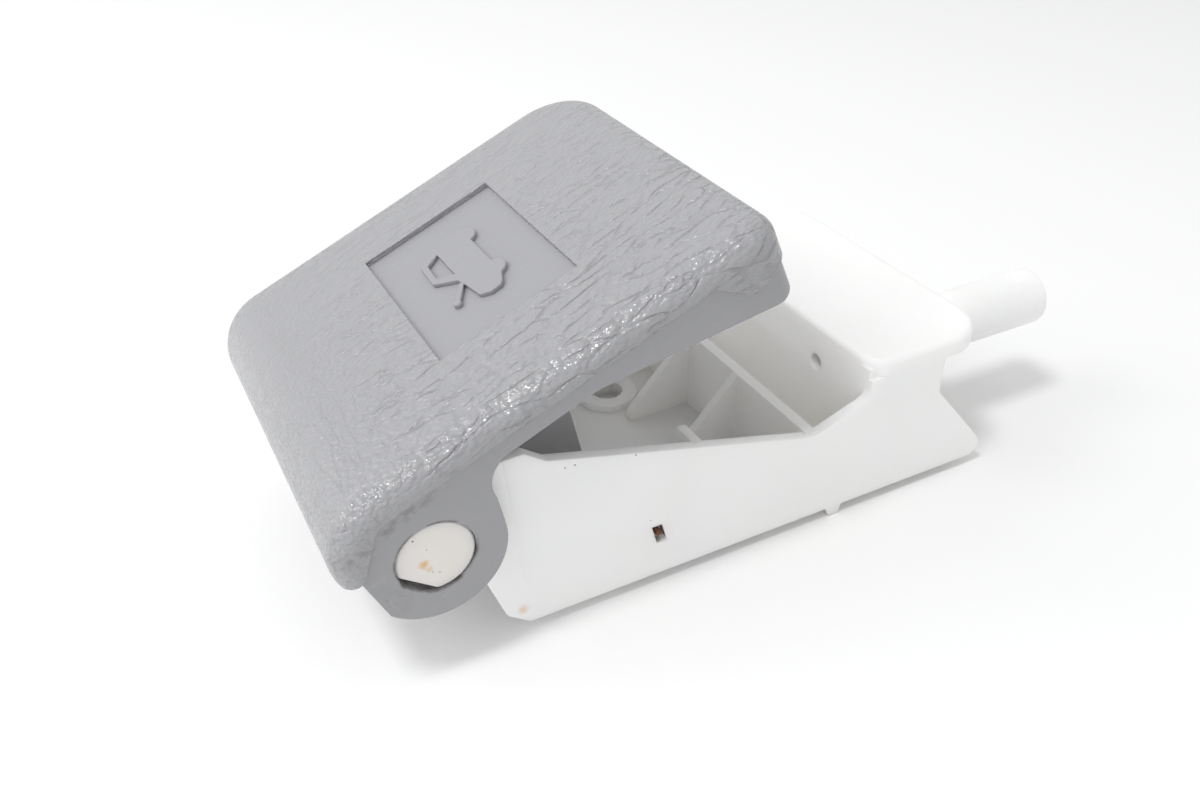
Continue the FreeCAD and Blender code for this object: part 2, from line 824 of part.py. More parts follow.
def springPath():
    # The wire's centre line: the hook in the near plate's slot, the straight fixed leg,
    # the coil and the straight moving leg. Both legs leave the coil as tangents.
    wire = plainSizes["wire_radius"]
    radius = plainSizes["coil_radius"]
    outer = -numberOf(plateHalf())
    first = outer + plainSizes["plate_thick"] + plainSizes["coil_side_gap"] + wire
    slotAngle = math.atan2(plainSizes["slot_z"], plainSizes["slot_x"])
    slotReach = math.hypot(plainSizes["slot_z"], plainSizes["slot_x"])
    startAngle = slotAngle - math.acos(radius / slotReach)
    under = (plainSizes["top_height"] - plainSizes["cover_wall"] - plainSizes["lever_top_wall"]
             - wire - plainSizes["leg_tip_gap"])
    tipReach = math.hypot(under, plainSizes["leg_tip_x"])
    tipAngle = math.atan2(under, plainSizes["leg_tip_x"]) + math.radians(plainSizes["open_angle"])
    wholeTurns = 2 * math.pi * plainSizes["coil_turns"]
    sweep = startAngle - (tipAngle + math.acos(radius / tipReach) - wholeTurns)
    last = first + plainSizes["coil_pitch"] * sweep / (2 * math.pi)
    steps = round(plainSizes["coil_steps"] * sweep / (2 * math.pi))
    hook = atAngle(slotAngle, slotReach, first)
    points = [FreeCAD.Vector(hook.x, outer + plainSizes["hook_end_gap"], hook.z), hook]
    for step in range(steps + 1):
        share = step / steps
        points.append(atAngle(startAngle - sweep * share, radius, first + (last - first) * share))
    points.append(atAngle(tipAngle, tipReach, last))
    return points


def returnSpring():
    # A torsion spring on the near hub, one wire of many-sided section swept along its
    # path, with its fixed leg in the slot and its moving leg under the open lever's top
    points = springPath()
    sides = plainSizes["wire_sides"]
    corners = []
    for number in range(sides + 1):
        offset = atAngle(2 * math.pi * number / sides, plainSizes["wire_radius"], 0)
        corners.append(points[0] + offset)
    section = Part.makePolygon(corners)
    mitred = 1
    spring = document.addObject("Part::Feature", "return_spring")
    spring.Shape = Part.makePolygon(points).makePipeShell([section], True, False, mitred)
    return spring


def openHandle(piece):
    # Turn a piece of the handle about the hinge axis into the pose that is shown
    turn = FreeCAD.Rotation(FreeCAD.Vector(0, -1, 0), plainSizes["open_angle"])
    piece.Placement = FreeCAD.Placement(FreeCAD.Vector(0, 0, 0), turn)
    piece.setExpression(".Placement.Rotation.Angle", "sizes.open_angle")


def moveToOrigin(pieces):
    # Bring the bottom centre of the whole part to the origin
    bounds = FreeCAD.BoundBox()
    for piece in pieces:
        bounds.add(piece.Shape.optimalBoundingBox(False, False))
    shift = FreeCAD.Vector(-bounds.Center.x, 0, -bounds.ZMin)
    for piece in pieces:
        piece.Placement = FreeCAD.Placement(shift, piece.Placement.Rotation)
    document.recompute()
    print("hinge axis at x = %.3f, z = %.3f" % (shift.x, shift.z))
    print("whole part %.1f by %.1f by %.1f" % (bounds.XLength, bounds.YLength, bounds.ZLength))


def checkDocument(pieces):
    # Nothing is written unless every feature worked and every piece is one sound solid
    for thing in document.Objects:
        if "Invalid" in thing.State or "Error" in thing.State:
            raise ValueError(thing.Name + " failed")
    for piece in pieces:
        shape = piece.Shape
        if shape.isNull() or not shape.isValid() or len(shape.Solids) != 1:
            raise ValueError(piece.Label + " is not one sound solid")


def writePieces(pieces):
    os.makedirs("parts", exist_ok=True)
    for piece in pieces:
        piece.Shape.exportStep("parts/%s.step" % piece.Label)
        print("%s, %.0f cubic mm" % (piece.Label, piece.Shape.Volume))


makeSheet()
handlePieces = [gripCover(), handleBody()]
allPieces = handlePieces + [bracket(), returnSpring()]
document.recompute()
for piece in allPieces:
    piece.Label = piece.Name
for piece in handlePieces:
    openHandle(piece)
document.recompute()
moveToOrigin(allPieces)
checkDocument(allPieces)
writePieces(allPieces)
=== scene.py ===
import json
import math

import bpy
import bmesh
from mathutils import Matrix, Vector


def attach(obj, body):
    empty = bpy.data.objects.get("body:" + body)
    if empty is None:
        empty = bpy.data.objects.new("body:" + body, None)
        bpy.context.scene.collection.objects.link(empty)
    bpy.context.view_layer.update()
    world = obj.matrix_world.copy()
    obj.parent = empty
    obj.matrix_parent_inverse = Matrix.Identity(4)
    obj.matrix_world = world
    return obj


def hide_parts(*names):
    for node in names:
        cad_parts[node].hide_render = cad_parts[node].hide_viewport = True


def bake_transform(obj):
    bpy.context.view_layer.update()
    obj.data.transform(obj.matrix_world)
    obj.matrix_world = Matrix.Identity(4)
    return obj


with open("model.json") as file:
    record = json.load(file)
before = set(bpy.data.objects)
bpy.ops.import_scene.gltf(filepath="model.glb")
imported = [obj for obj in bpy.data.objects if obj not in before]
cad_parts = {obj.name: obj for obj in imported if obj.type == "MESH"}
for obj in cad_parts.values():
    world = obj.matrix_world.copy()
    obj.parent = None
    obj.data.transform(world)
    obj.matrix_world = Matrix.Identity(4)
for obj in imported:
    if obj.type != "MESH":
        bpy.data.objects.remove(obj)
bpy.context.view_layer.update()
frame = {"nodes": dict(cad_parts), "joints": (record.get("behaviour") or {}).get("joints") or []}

# Hood release handle: the grained cover, the smooth lever, the natural nylon bracket and
# the spring come from the frame and get their finishes here. Two pieces are made in this
# file: the spring once more, with its moving leg cut into short lengths, and the raised
# symbol on the lever's panel.

millimetre = 0.001
hinge = Vector(frame["joints"][0]["pos_m"])
openAngle = math.radians(-frame["joints"][0]["range_deg"][0])
print("frame loaded, hinge at", [round(v, 5) for v in hinge])


# Small helpers for colours, nodes and materials

def linear(hexText):
    # an sRGB hex colour as the linear RGBA that sockets take
    parts = [int(hexText[i:i + 2], 16) / 255 for i in (1, 3, 5)]
    return [p / 12.92 if p <= 0.04045 else ((p + 0.055) / 1.055) ** 2.4 for p in parts] + [1.0]


def addNode(tree, kind, inputs=None, **settings):
    # one node with its settings; an input is a value, a socket, or the node that feeds it
    node = tree.nodes.new("ShaderNode" + kind)
    for key, value in settings.items():
        setattr(node, key, value)
    for key, value in (inputs or {}).items():
        if isinstance(value, bpy.types.Node):
            value = next(socket for socket in value.outputs if socket.enabled)
        if isinstance(value, bpy.types.NodeSocket):
            tree.links.new(value, node.inputs[key])
        else:
            node.inputs[key].default_value = value
    return node


def newMaterial(name):
    material = bpy.data.materials.new(name)
    material.use_nodes = True
    tree = material.node_tree
    tree.nodes.clear()
    return material, tree


def surface(tree, inputs):
    # the principled shader: its fixed values stay on its own sockets, nodes feed the others
    shader = addNode(tree, "BsdfPrincipled", inputs)
    addNode(tree, "OutputMaterial", {"Surface": shader})


def handleSpace(tree):
    # object coordinates in millimetres about the hinge, level with the handle's top
    shift = -(Matrix.Rotation(openAngle, 3, "Y") @ (hinge / millimetre))
    place = addNode(tree, "TexCoord").outputs["Object"]
    return addNode(tree, "Mapping", {
        "Vector": place, "Scale": (1 / millimetre,) * 3, "Rotation": (0, openAngle, 0),
        "Location": shift})


def bracketSpace(tree):
    # object coordinates in millimetres about the hinge, level with the floor
    place = addNode(tree, "TexCoord").outputs["Object"]
    return addNode(tree, "Mapping", {
        "Vector": place, "Scale": (1 / millimetre,) * 3, "Location": -hinge / millimetre})


def softEdges(tree, radius):
    # the normal with its sharp edges rounded off, and 1 where it differs from the true one
    raysPerPoint = 6
    rounded = addNode(tree, "Bevel", {"Radius": radius * millimetre}, samples=raysPerPoint)
    plain = addNode(tree, "NewGeometry").outputs["Normal"]
    match = addNode(tree, "VectorMath", {0: rounded, 1: plain}, operation="DOT_PRODUCT")
    edge = addNode(tree, "MapRange", {
        "Value": match.outputs["Value"], "From Min": 0.99, "From Max": 0.8,
        "To Min": 0.0, "To Max": 1.0})
    return rounded, edge


polypropyleneIor = 1.49

# Grip cover: polypropylene moulded with a leather grain. Fine pebbles cover the skin, with
# long broken creases and short wrinkles along the handle that turn across at its rear bend.
# Bolder creases cross the rolled side edges and leave knuckles there, which catch the light.

grain = {
    "colour": "#9f9fa2",
    # painted shade: the darker colour mixed into the creases
    "creaseShadeColour": "#85858a",
    # painted highlight: the lighter colour along the rounded edges
    "rimHighlightColour": "#b9b9bc",
    "dirtColour": "#544f47",
    "pebble": 0.6,           # mm between the fine bumps
    "pebbleDepth": 0.17,     # mm
    "pebbleDraw": 0.65,      # their width over their length
    "creaseSpacing": 2.2,    # mm across the long creases
    "creaseLength": 9.0,     # mm along them
    "creaseWidth": 0.1,      # of their spacing, from the bottom to the skin
    "creaseDepth": 0.2,      # mm
    "creaseShadeShare": 0.3,       # how far a crease is darkened by painted shade
    "creasePatch": 0.3,      # patches per mm in which the creases come and go
    "wrinkleSpacing": 0.8,   # mm across the short wrinkles between them
    "wrinkleLength": 2.6,    # mm
    "wrinkleWidth": 0.3,     # of their spacing
    "wrinkleDepth": 0.02,    # mm
    "wander": ((12.0, 4.5), (3.0, 1.0), (0.8, 0.3)),  # mm along, and mm that the lines stray
    "farShare": 0.4,         # depth that is left on the far half, beyond the middle
    "farFade": (-20.0, 14.0),  # mm from the middle, where it fades
    "rearShare": 0.35,       # depth that is left on the rear bend
    "knuckle": 1.15,         # mm between the creases that cross the side edges
    "knuckleReach": 2.0,     # mm that they run
    "knuckleDepth": 0.3,     # mm
    "knuckleStart": 24.4,    # mm from the middle, where they begin
    "knuckleRise": 1.5,      # mm to their full depth
    "knuckleFall": (2.6, 3.6),  # mm, where they fade on the upright side
    "knuckleEnd": (20.0, 44.0),  # mm from the hinge, where they fade along the handle
    "rearBend": 2.5,         # mm from the hinge, where the creases turn across
    "rearBlend": 3.0,        # mm each side of it
    "softEdge": 0.2,         # mm
    "rimHighlightShare": 0.5,
    "creaseRoughness": 0.37,
    "roughness": 0.22,
    "edgeRoughness": 0.13,   # where hands have polished the side edges
}


def longCells(tree, place, across, along, width, lengthwise):
    # 1 on the skin of long cells and 0 in the creases between them
    stretch = [1 / across] * 3
    stretch[0 if lengthwise else 1] = 1 / along
    drawn = addNode(tree, "VectorMath", {0: place, 1: stretch}, operation="MULTIPLY")
    cells = addNode(tree, "TexVoronoi", {"Vector": drawn, "Scale": 1.0},
                    feature="DISTANCE_TO_EDGE")
    return addNode(tree, "MapRange", {"Value": cells, "From Min": 0.0, "From Max": width},
                   interpolation_type="SMOOTHSTEP")


def bothWays(tree, place, turned, across, along, width):
    # the same cells along the handle, and across it where the cover bends down at the rear
    return addNode(tree, "Mix", {
        "Factor": turned, "A": longCells(tree, place, across, along, width, True),
        "B": longCells(tree, place, across, along, width, False)}, data_type="FLOAT")


def sideEdges(tree, axes):
    # 1 on the rolled side edges and 0 elsewhere
    outward = addNode(tree, "Math", {0: axes.outputs["Y"]}, operation="ABSOLUTE")
    start = addNode(tree, "MapRange", {
        "Value": outward, "From Min": grain["knuckleStart"],
        "From Max": grain["knuckleStart"] + grain["knuckleRise"]},
        interpolation_type="SMOOTHSTEP")
    fallStart, fallEnd = grain["knuckleFall"]
    fall = addNode(tree, "MapRange", {
        "Value": outward, "From Min": grain["knuckleStart"] + fallStart,
        "From Max": grain["knuckleStart"] + fallEnd, "To Min": 1.0, "To Max": 0.35})
    endStart, endEnd = grain["knuckleEnd"]
    along = addNode(tree, "MapRange", {
        "Value": axes.outputs["X"], "From Min": endStart, "From Max": endEnd,
        "To Min": 1.0, "To Max": 0.4})
    share = addNode(tree, "Math", {0: start, 1: fall}, operation="MULTIPLY")
    return addNode(tree, "Math", {0: share, 1: along}, operation="MULTIPLY")


def knuckles(tree, place, edges):
    # how far below the tops of its rounded pads a side edge lies, and 0 elsewhere
    drawn = addNode(tree, "VectorMath", {
        0: place, 1: (1 / grain["knuckle"], 1 / grain["knuckleReach"],
                      1 / grain["knuckleReach"])}, operation="MULTIPLY")
    cells = addNode(tree, "TexVoronoi", {"Vector": drawn, "Scale": 1.0, "Randomness": 0.85})
    dome = addNode(tree, "Math", {0: cells.outputs["Distance"], 1: 2.0}, operation="POWER")
    return addNode(tree, "Math", {0: dome, 1: edges}, operation="MULTIPLY")


def wandering(tree, place):
    # the place pushed about at several sizes, so that the creases drawn on it aren't straight
    strayed = place
    for size, reach in grain["wander"]:
        sway = addNode(tree, "TexNoise", {"Vector": place, "Scale": 1 / size, "Detail": 1.0})
        sway = addNode(tree, "VectorMath", {0: sway.outputs["Color"], 1: (0.5, 0.5, 0.5)},
                       operation="SUBTRACT")
        strayed = addNode(tree, "VectorMath", {0: sway, 1: (reach,) * 3, 2: strayed},
                          operation="MULTIPLY_ADD")
    return strayed


def grainedPolypropylene():
    material, tree = newMaterial("polypropyleneLeatherGrain")
    place = handleSpace(tree)
    axes = addNode(tree, "SeparateXYZ", {0: place})
    strayed = wandering(tree, place)
    turned = addNode(tree, "MapRange", {
        "Value": axes.outputs["X"], "From Min": grain["rearBend"] + grain["rearBlend"],
        "From Max": grain["rearBend"] - grain["rearBlend"]})
    crease, wrinkle = (
        bothWays(tree, strayed, turned, grain[kind + "Spacing"], grain[kind + "Length"],
                 grain[kind + "Width"]) for kind in ("crease", "wrinkle"))
    fade = addNode(tree, "TexNoise", {
        "Vector": place, "Scale": grain["creasePatch"], "Detail": 1.0})
    fade = addNode(tree, "MapRange", {
        "Value": fade, "From Min": 0.36, "From Max": 0.6, "To Min": 0.2, "To Max": 1.0})
    fadeStart, fadeEnd = grain["farFade"]
    worn = addNode(tree, "MapRange", {
        "Value": axes.outputs["Y"], "From Min": fadeStart, "From Max": fadeEnd,
        "To Min": 1.0, "To Max": grain["farShare"]})
    rear = addNode(tree, "MapRange", {
        "Value": turned, "To Min": 1.0, "To Max": grain["rearShare"]})
    for share in (worn, rear):
        fade = addNode(tree, "Math", {0: fade, 1: share}, operation="MULTIPLY")
    drawn = addNode(tree, "VectorMath", {0: place, 1: (grain["pebbleDraw"], 1, 1)},
                    operation="MULTIPLY")
    pebbles = addNode(tree, "TexVoronoi", {
        "Vector": drawn, "Scale": 1 / grain["pebble"], "Smoothness": 0.25}, feature="SMOOTH_F1")
    pebbles = addNode(tree, "Math", {0: pebbles.outputs["Distance"], 1: worn},
                      operation="MULTIPLY")
    height = addNode(tree, "Math", {0: crease, 1: fade}, operation="MULTIPLY")
    height = addNode(tree, "Math", {0: height, 1: grain["creaseDepth"]}, operation="MULTIPLY")
    edges = sideEdges(tree, axes)
    for value, depth in ((wrinkle, grain["wrinkleDepth"]), (pebbles, -grain["pebbleDepth"]),
                         (knuckles(tree, strayed, edges), -grain["knuckleDepth"])):
        height = addNode(tree, "Math", {0: value, 1: depth, 2: height},
                         operation="MULTIPLY_ADD")
    rounded, edge = softEdges(tree, grain["softEdge"])
    bump = addNode(tree, "Bump", {"Height": height, "Distance": millimetre, "Normal": rounded})
    # painted shade: the long creases are darkened in colour, less where they fade
    deep = addNode(tree, "MapRange", {"Value": crease, "From Min": 0.6, "From Max": 0.0})
    for share in (fade, grain["creaseShadeShare"]):
        deep = addNode(tree, "Math", {0: deep, 1: share}, operation="MULTIPLY")
    colour = addNode(tree, "Mix", {
        "Factor": deep, "A": linear(grain["colour"]), "B": linear(grain["creaseShadeColour"])},
        data_type="RGBA")
    # painted highlight: the rounded edges are lightened in colour
    rim = addNode(tree, "Math", {0: edge, 1: grain["rimHighlightShare"]}, operation="MULTIPLY")
    for factor, shade in ((rim, "rimHighlightColour"), (seamDirt(tree, place, axes), "dirtColour")):
        colour = addNode(tree, "Mix", {"Factor": factor, "A": colour, "B": linear(grain[shade])},
                         data_type="RGBA")
    rough = addNode(tree, "MapRange", {
        "Value": crease, "To Min": grain["creaseRoughness"], "To Max": grain["roughness"]})
    rough = addNode(tree, "Mix", {"Factor": edges, "A": rough, "B": grain["edgeRoughness"]},
                    data_type="FLOAT")
    surface(tree, {
        "Base Color": colour, "Roughness": rough, "Normal": bump, "IOR": polypropyleneIor})
    return material


# Grime on the handle: a line under the cover's edge beside the hinge, on the near side, and
# a thin dark ring round the ear's hole, where dust sticks to the old grease

grime = {
    "seamLevel": 8.3,        # mm above the hinge
    "seamSlope": 0.1,
    "seamReach": (0.1, 1.2),  # mm each side, from full strength to none
    "seamStrength": 0.35,
    "seamEnd": (9.0, 3.0),   # mm from the hinge along the handle
    "seamFace": (-26.5, -27.4),  # mm from the middle
    "seamPatch": 0.9,        # patches per mm
    "ringEdge": (5.55, 5.25),  # mm from the hinge
    "ringStrength": 0.8,
    "ringPatch": 0.5,        # patches per mm
}


def seamDirt(tree, place, axes):
    slope = addNode(tree, "Math", {
        0: axes.outputs["X"], 1: -grime["seamSlope"], 2: axes.outputs["Z"]},
        operation="MULTIPLY_ADD")
    level = addNode(tree, "Math", {0: slope, 1: grime["seamLevel"]}, operation="SUBTRACT")
    level = addNode(tree, "Math", {0: level}, operation="ABSOLUTE")
    full, none = grime["seamReach"]
    amount = addNode(tree, "MapRange", {
        "Value": level, "From Min": full, "From Max": none, "To Min": grime["seamStrength"],
        "To Max": 0.0})
    patches = addNode(tree, "TexNoise", {
        "Vector": place, "Scale": grime["seamPatch"], "Detail": 5.0})
    for value, low, high in ((axes.outputs["X"], *grime["seamEnd"]),
                             (axes.outputs["Y"], *grime["seamFace"]), (patches, 0.46, 0.62)):
        limit = addNode(tree, "MapRange", {"Value": value, "From Min": low, "From Max": high})
        amount = addNode(tree, "Math", {0: amount, 1: limit}, operation="MULTIPLY")
    return amount


def holeGrime(tree, place, axes):
    flat = addNode(tree, "CombineXYZ", {"X": axes.outputs["X"], "Z": axes.outputs["Z"]})
    reach = addNode(tree, "VectorMath", {0: flat}, operation="LENGTH")
    outer, inner = grime["ringEdge"]
    ring = addNode(tree, "MapRange", {
        "Value": reach.outputs["Value"], "From Min": outer, "From Max": inner})
    patches = addNode(tree, "TexNoise", {
        "Vector": place, "Scale": grime["ringPatch"], "Detail": 4.0})
    patches = addNode(tree, "MapRange", {
        "Value": patches, "From Min": 0.42, "From Max": 0.62, "To Min": 0.0,
        "To Max": grime["ringStrength"]})
    return addNode(tree, "Math", {0: ring, 1: patches}, operation="MULTIPLY")


# Lever: the same grey polypropylene, moulded smooth. A fine satin texture and a few light
# scuffs break its reflections, and the near ear has a rough patch low at its rear.

lever = {
    "colour": "#9d9da0",
    "scuffColour": "#aeaeb1",
    # painted highlight: the lighter colour along the rounded edges
    "rimHighlightColour": "#b5b5b8",
    "dirtColour": "#4e4941",
    "texture": 0.25,         # mm between the grains of the satin texture
    "textureDepth": 0.012,   # mm
    "wavePatch": 0.25,       # waves per mm of the skin's slow ripple
    "waveShare": 3.0,        # its depth over the texture's
    "roughPatch": (-7.8, -28.2, -2.0),  # mm from the hinge
    "patchReach": 3.6,       # mm
    "patchDepth": 0.5,       # mm
    "scuffStretch": (0.25, 1.0, 2.4),
    "scuffStrength": 0.5,
    "softEdge": 0.15,        # mm
    "rimHighlightShare": 0.4,
    "roughness": (0.39, 0.52),
}


def smoothPolypropylene():
    material, tree = newMaterial("polypropyleneSatin")
    place = handleSpace(tree)
    axes = addNode(tree, "SeparateXYZ", {0: place})
    fine = addNode(tree, "TexNoise", {
        "Vector": place, "Scale": 1 / lever["texture"], "Detail": 2.0})
    waves = addNode(tree, "TexNoise", {
        "Vector": place, "Scale": lever["wavePatch"], "Detail": 1.0})
    height = addNode(tree, "Math", {0: waves, 1: lever["waveShare"], 2: fine},
                     operation="MULTIPLY_ADD")
    height = addNode(tree, "Math", {0: height, 1: lever["textureDepth"]}, operation="MULTIPLY")
    away = addNode(tree, "VectorMath", {0: place, 1: lever["roughPatch"]}, operation="DISTANCE")
    patch = addNode(tree, "MapRange", {
        "Value": away.outputs["Value"], "From Min": lever["patchReach"],
        "From Max": lever["patchReach"] * 0.3, "To Min": 0.0, "To Max": lever["patchDepth"]},
        interpolation_type="SMOOTHSTEP")
    torn = addNode(tree, "TexNoise", {
        "Vector": place, "Scale": 0.8, "Detail": 3.0, "Distortion": 1.0})
    height = addNode(tree, "Math", {0: torn, 1: patch, 2: height}, operation="MULTIPLY_ADD")
    rounded, edge = softEdges(tree, lever["softEdge"])
    bump = addNode(tree, "Bump", {"Height": height, "Distance": millimetre, "Normal": rounded})
    streaks = addNode(tree, "VectorMath", {0: place, 1: lever["scuffStretch"]},
                      operation="MULTIPLY")
    scuffs = addNode(tree, "TexNoise", {"Vector": streaks, "Scale": 1.4, "Detail": 6.0})
    scuffs = addNode(tree, "MapRange", {
        "Value": scuffs, "From Min": 0.64, "From Max": 0.78, "To Min": 0.0,
        "To Max": lever["scuffStrength"]})
    colour = addNode(tree, "Mix", {
        "Factor": scuffs, "A": linear(lever["colour"]), "B": linear(lever["scuffColour"])},
        data_type="RGBA")
    # painted highlight: the rounded edges are lightened in colour
    rim = addNode(tree, "Math", {0: edge, 1: lever["rimHighlightShare"]}, operation="MULTIPLY")
    for factor, shade in ((rim, "rimHighlightColour"), (seamDirt(tree, place, axes), "dirtColour"),
                          (holeGrime(tree, place, axes), "dirtColour")):
        colour = addNode(tree, "Mix", {"Factor": factor, "A": colour, "B": linear(lever[shade])},
                         data_type="RGBA")
    cloud = addNode(tree, "TexNoise", {"Vector": place, "Scale": 0.5, "Detail": 4.0})
    smoothest, roughest = lever["roughness"]
    rough = addNode(tree, "MapRange", {
        "Value": cloud, "From Min": 0.3, "From Max": 0.7, "To Min": smoothest,
        "To Max": roughest})
    surface(tree, {
        "Base Color": colour, "Roughness": rough, "Normal": bump, "IOR": polypropyleneIor})
    return material


# Bracket: nylon in its natural colour, milky and slightly translucent, so that its thin
# walls glow where light comes through. It has yellowed a little and has picked up dirt.

nylon = {
    "colour": "#fbfaf8",
    "agedColour": "#faf6ee",
    "bossEndColour": "#e4dfda",
    "stainColour": "#dfae4c",
    "rustColour": "#e0a060",
    # painted shade inside the slot
    "slotShadeColour": "#1d1713",
    "speckColour": "#3a332b",
    "scatter": 3.0,          # mm that light travels in it
    "scatterShare": 0.6,
    "scatterTint": (1.0, 0.95, 0.88),
    "agedPatch": 0.07,       # patches per mm
    "agedStrength": 0.6,
    "bossEndFrom": (-26.6, -27.6),  # mm from the middle, where the bosses' ends turn darker and warmer
    "bossEndStrength": 0.8,
    "slotDepth": (0.02, 0.15),  # mm under the plate's face, where the painted shade in the slot begins
    "smearPatch": 1.5,       # patches per mm
    "specks": 3.1,           # mm between the places where a speck may be
    "speckChance": 0.06,
    "speckEdge": (0.045, 0.027),  # of that distance
    "rippleShare": 3.0,      # the slow ripple's depth over the fine texture's
    "textureDepth": 0.02,    # mm
    "weldPlace": 11.0,       # mm from the hinge
    "weldSlope": 0.11,
    "weldFoot": (-13.0, -11.0),  # mm from the hinge, where the line fades
    "softEdge": 0.2,         # mm
    "roughness": (0.36, 0.52),
    "plateFace": -25.8,      # mm, the near plate's outer face
    "bossFace": -28.05,      # mm, the near boss's end
    "slot": (32.55, -24.9, -11.7),
}

# stains, specks and the painted shade in the slot on the near side: colour, place in mm from
# the hinge, radius, soft edge, strength
nylonMarks = (
    ("stainColour", (-1.6, nylon["bossFace"], -0.6), 0.25, 0.7, 0.7),
    ("stainColour", (-1.0, nylon["bossFace"], -1.6), 0.15, 0.5, 0.5),
    ("rustColour", (11.57, nylon["plateFace"], -16.3), 0.2, 1.0, 0.45),
    # painted shade on the slot's inner walls
    ("slotShadeColour", nylon["slot"], 1.5, 0.3, 0.95),
    ("speckColour", (-2.58, nylon["bossFace"], 3.48), 0.09, 0.08, 1.0),
    ("speckColour", (-1.05, nylon["bossFace"], 1.51), 0.05, 0.07, 0.8),
    ("speckColour", (-0.62, nylon["bossFace"], -2.18), 0.05, 0.07, 0.9),
    ("speckColour", (0.24, nylon["bossFace"], -2.56), 0.05, 0.07, 0.9),
    ("speckColour", (18.45, nylon["plateFace"], 5.05), 0.07, 0.08, 0.9),
    ("speckColour", (19.84, nylon["plateFace"], 5.0), 0.07, 0.08, 0.9),
    ("speckColour", (28.63, nylon["plateFace"], 3.4), 0.08, 0.08, 0.8),
)


def naturalNylon():
    material, tree = newMaterial("nylonNatural")
    place = bracketSpace(tree)
    axes = addNode(tree, "SeparateXYZ", {0: place})
    aged = addNode(tree, "TexNoise", {
        "Vector": place, "Scale": nylon["agedPatch"], "Detail": 3.0})
    aged = addNode(tree, "MapRange", {
        "Value": aged, "From Min": 0.45, "From Max": 0.75, "To Min": 0.0,
        "To Max": nylon["agedStrength"]})
    colour = addNode(tree, "Mix", {
        "Factor": aged, "A": linear(nylon["colour"]), "B": linear(nylon["agedColour"])},
        data_type="RGBA")
    # darker and warmer towards the bosses' ends
    tintStart, tintFull = nylon["bossEndFrom"]
    bossEnds = addNode(tree, "MapRange", {
        "Value": axes.outputs["Y"], "From Min": tintStart, "From Max": tintFull,
        "To Max": nylon["bossEndStrength"]})
    colour = addNode(tree, "Mix", {
        "Factor": bossEnds, "A": colour, "B": linear(nylon["bossEndColour"])}, data_type="RGBA")
    shallow, deep = nylon["slotDepth"]
    sunk = addNode(tree, "MapRange", {
        "Value": axes.outputs["Y"], "From Min": nylon["plateFace"] + shallow,
        "From Max": nylon["plateFace"] + deep})
    smear = addNode(tree, "TexNoise", {
        "Vector": place, "Scale": nylon["smearPatch"], "Detail": 3.0})
    for shade, centre, radius, softness, strength in nylonMarks:
        away = addNode(tree, "VectorMath", {0: place, 1: centre}, operation="DISTANCE")
        away = addNode(tree, "Math", {0: smear, 1: softness, 2: away.outputs["Value"]},
                       operation="MULTIPLY_ADD")
        amount = addNode(tree, "MapRange", {
            "Value": away, "From Min": radius + softness * 1.4, "From Max": radius + softness * 0.5,
            "To Max": strength})
        # painted shade: only the slot's sunk walls are darkened
        if shade == "slotShadeColour":
            amount = addNode(tree, "Math", {0: amount, 1: sunk}, operation="MULTIPLY")
        colour = addNode(tree, "Mix", {"Factor": amount, "A": colour, "B": linear(nylon[shade])},
                         data_type="RGBA")
    colour = addNode(tree, "Mix", {
        "Factor": fewSpecks(tree, place), "A": colour, "B": linear(nylon["speckColour"])},
        data_type="RGBA")
    ripple = addNode(tree, "TexNoise", {"Vector": place, "Scale": 0.3, "Detail": 2.0})
    fine = addNode(tree, "TexNoise", {"Vector": place, "Scale": 3.2, "Detail": 3.0})
    height = addNode(tree, "Math", {0: ripple, 1: nylon["rippleShare"], 2: fine},
                     operation="MULTIPLY_ADD")
    height = addNode(tree, "Math", {
        0: weldLine(tree, axes), 1: -nylon["rippleShare"], 2: height}, operation="MULTIPLY_ADD")
    rounded = softEdges(tree, nylon["softEdge"])[0]
    bump = addNode(tree, "Bump", {
        "Height": height, "Distance": nylon["textureDepth"] * millimetre, "Normal": rounded})
    smoothest, roughest = nylon["roughness"]
    rough = addNode(tree, "MapRange", {
        "Value": fine, "From Min": 0.3, "From Max": 0.7, "To Min": smoothest,
        "To Max": roughest})
    surface(tree, {
        "Base Color": colour, "Roughness": rough, "Normal": bump, "IOR": 1.53,
        "Subsurface Weight": nylon["scatterShare"], "Subsurface Radius": nylon["scatterTint"],
        "Subsurface Scale": nylon["scatter"] * millimetre})
    return material


def fewSpecks(tree, place):
    # small dark grains of dirt, one in a few of the cells that they might lie in
    cells = addNode(tree, "TexVoronoi", {"Vector": place, "Scale": 1 / nylon["specks"]})
    lot = addNode(tree, "SeparateColor", {"Color": cells.outputs["Color"]})
    chosen = addNode(tree, "Math", {0: lot.outputs["Red"], 1: nylon["speckChance"]},
                     operation="LESS_THAN")
    outer, inner = nylon["speckEdge"]
    dot = addNode(tree, "MapRange", {
        "Value": cells.outputs["Distance"], "From Min": outer, "From Max": inner,
        "To Max": 0.7})
    return addNode(tree, "Math", {0: chosen, 1: dot}, operation="MULTIPLY")


